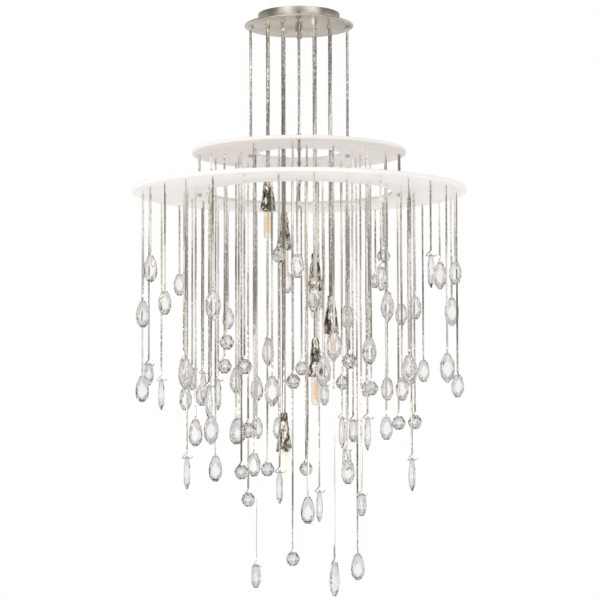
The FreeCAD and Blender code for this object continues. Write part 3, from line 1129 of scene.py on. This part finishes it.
for number in range(1, 7):
    body = "bulb_%d" % number
    low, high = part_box(body)
    x, y = (low.x + high.x) / 2, (low.y + high.y) / 2
    cap_low, foot, head = high.z - CAP_LENGTH, low.z + CAPSULE_FOOT, low.z + CAPSULE_HEAD

    glass = lamp_tube(body + "_glass", x, y, low.z, cap_low, LAMP_R)
    modify(glass, "SOLIDIFY", thickness=LAMP_GLASS, offset=-1)
    smooth(glass, 50)
    settle(glass, body, "bulb_glass", frosted_glow if number == FROSTED else lamp_glass, body)
    settle(screw_cap(body + "_cap", x, y, cap_low, high.z), body, "bulb_glass", cap_metal)

    capsule = lamp_tube(body + "_capsule", x, y, foot, head, CAPSULE_R)
    smooth(capsule, 50)
    settle(capsule, body, "bulb_glass", capsule_glow)
    filament = wire(body + "_filament", hairpin(x, y, foot, head), FILAMENT_R)
    settle(filament, body, "bulb_glass", filament_glow)
    leads = []
    for lead_x in (x - LEAD_ASIDE, x + LEAD_ASIDE):
        heights = (head - LEAD_INSIDE, head + LEAD_UPRIGHT, cap_low)
        leads.append(wire("lead", [(lead_x, y, height) for height in heights], LEAD_R))
    settle(joined(leads, body + "_leads"), body, "bulb_glass", cap_metal)

# %% [markdown]
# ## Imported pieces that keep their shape
# Small hexagon parts, the strap, the holders and the hidden leads already have the right shape, so
# they stay as packed and only their material changes.

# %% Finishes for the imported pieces
KEPT = (
    (zinc_plate, ("ceiling_strap", "centre_nipple", "nipple_nuts")),
    (holder_plastic, ("lamp_wires", "splice_caps", "lampholders")),
    (canopy_silver, ("collar_screws", "stem_nuts", "upper_hang_nuts", "lower_hang_nuts")),
    (stem_silver, ("centre_knob", "ferrules")),
)
for finish, nodes in KEPT:
    for node in nodes:
        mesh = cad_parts[node].data
        mesh.materials.clear()
        mesh.materials.append(finish)
    print(finish.name, "on", ", ".join(nodes))

# %% [markdown]
# ## Lamps in the studio
# The studio is plain: one large soft lamp from the front and a weaker one from behind, both from below,
# where they light the rings' undersides. They are hidden from the camera and from rays that come through
# glass, which would show them as square patches.

# %% Two soft lamps
AIM = (0, 0, -0.5)


def soft_lamp(name, place, size, power):
    data = bpy.data.lights.new(name, "AREA")
    data.size = size
    data.energy = power
    lamp = bpy.data.objects.new(name, data)
    lamp.location = place
    lamp.rotation_euler = (Vector(AIM) - Vector(place)).to_track_quat("-Z", "Y").to_euler()
    lamp.visible_camera = False
    lamp.visible_transmission = False
    bpy.context.scene.collection.objects.link(lamp)
    print(name, "of", power, "W")


soft_lamp("front_lamp", (-1.8, -2.6, -2.3), size=4.0, power=46)
soft_lamp("back_lamp", (2.0, 2.4, -2.3), size=3.4, power=26)

# %% [markdown]
# ## The floor
# The camera has to see pure white round the object, so the floor shines at a strength of 1 for camera
# rays. It keeps a fifth of its lit surface there for soft shadows. Mirrored rays and rays through glass
# meet it darker, because metal and glass need something to show. A ray that leaves a glass piece counts
# as both, so the mirrored kind is taken without it.

# %% Pale floor
ROOM_HEIGHT = 4.2
FLOOR_SIZE = 24


def ray_is(finish, kind):
    """1 for rays of a kind, which is Camera, Glossy or Transmission, and else 0."""
    return finish.add("ShaderNodeLightPath", out="Is %s Ray" % kind)


def pale_floor():
    made = bpy.data.materials.new("pale_floor")
    made.use_nodes = True
    finish = Finish(made.node_tree)
    seen = ray_is(finish, "Camera")
    through = ray_is(finish, "Transmission")
    glossy = ray_is(finish, "Glossy") * (1 - through)
    lit = finish.add("ShaderNodeBsdfDiffuse", {}, {"Color": (0.9, 0.9, 0.9, 1)})
    strength = seen + glossy * 0.45 + through * 0.7
    white = finish.add("ShaderNodeEmission", {}, {"Color": (1, 1, 1, 1), "Strength": strength})
    share = seen * 0.8 + glossy + through
    mixed = finish.add("ShaderNodeMixShader", {}, {0: share, 1: lit, 2: white})
    finish.show("ShaderNodeOutputMaterial", mixed)
    return made


bpy.ops.mesh.primitive_plane_add(size=FLOOR_SIZE, location=(0, 0, -ROOM_HEIGHT))
floor = added("floor")
floor.data.materials.append(pale_floor())
print("floor", FLOOR_SIZE, "m wide,", ROOM_HEIGHT, "m below the ceiling")

# %% [markdown]
# ## The room that metal and glass see
# White metal in an evenly white room would vanish. So the world is plain white for the camera and for
# lighting, but mirrored rays meet soft grey screens round the horizon. The canopy hangs above the camera
# and mirrors what is higher up: two bright windows, left and right of the front, in darker walls. Rays
# that have come through glass meet pale grey bars, which draw the edges of the facets.

# %% Screens, windows and bars
WIDE_SCREENS = 3
NARROW_SCREENS = 9
GLASS_CORNERS = 4
GLASS_BARS = 12


def mirrored_room(around, y, z):
    """The brightness that a mirrored ray meets, by its bearing, its way back and its climb."""
    lifted = z.math("ABSOLUTE").ramp(0.08, 0.3)
    wide = (around + 1.2).math("SINE") * 0.35 + (around * WIDE_SCREENS + 0.5).math("SINE") * 0.65
    narrow = (around * NARROW_SCREENS + z * 7.0).math("SINE").ramp(-0.6, 0.6)
    down = z * -1.0
    below = down.ramp(0.08, 0.22) * (1 - down.ramp(0.3, 0.45))
    screens = wide.ramp(-0.6, 0.25) * 0.36 + narrow * 0.4 + lifted * 0.08 + below * 0.25 + 0.2
    above = z.ramp(0.17, 0.21)
    ahead = y * -1.0
    windows = ahead.ramp(0.35, 0.65) * (1 - ahead.ramp(0.82, 0.96)) * 1.2
    walls = y.ramp(0.3, 0.9) * 0.2 + 0.16
    return screens * (1 - above) + (windows + walls) * above


def refracted_room(around, z):
    """The brightness that a ray meets once it has come through glass."""
    steep = z.math("ABSOLUTE").ramp(0.12, 0.6)
    corners = (0.5 - (around * GLASS_CORNERS).math("COSINE") * 0.5).ramp(0.25, 0.85)
    upright = (around * GLASS_BARS).math("COSINE") * 0.3
    level = (z * 9.0).math("COSINE") * 0.3
    bars = (0.6 - upright - level).ramp(0.2, 0.9)
    return 0.94 - bars * 0.34 - corners * 0.2 - steep * 0.14


print("screens:", WIDE_SCREENS, "wide and", NARROW_SCREENS, "narrow; bars for glass:", GLASS_BARS)

# %% [markdown]
# ## Joining the room's parts
# The world's brightness is a sum of three parts, and each is multiplied by the kind of ray that it is
# for, so only one counts at a time. The view transform is Standard, which renders colours as written.

# %% World and view
world = bpy.data.worlds.new("white_room")
world.use_nodes = True
bpy.context.scene.world = world
room = Finish(world.node_tree)
toward = room.add("ShaderNodeTexCoord", out="Generated")
x, y, z = [room.add("ShaderNodeSeparateXYZ", {}, {0: toward}, out=i) for i in range(3)]
around = y.math("ARCTAN2", x)
through = ray_is(room, "Transmission")
glossy = ray_is(room, "Glossy") * (1 - through)
plain = (1 - glossy) * (1 - through)
strength = plain + glossy * mirrored_room(around, y, z) + through * refracted_room(around, z)
light = room.add("ShaderNodeBackground", {}, {"Color": (1, 1, 1, 1), "Strength": strength})
room.show("ShaderNodeOutputWorld", light)
bpy.context.scene.view_settings.view_transform = "Standard"
print("studio ready")
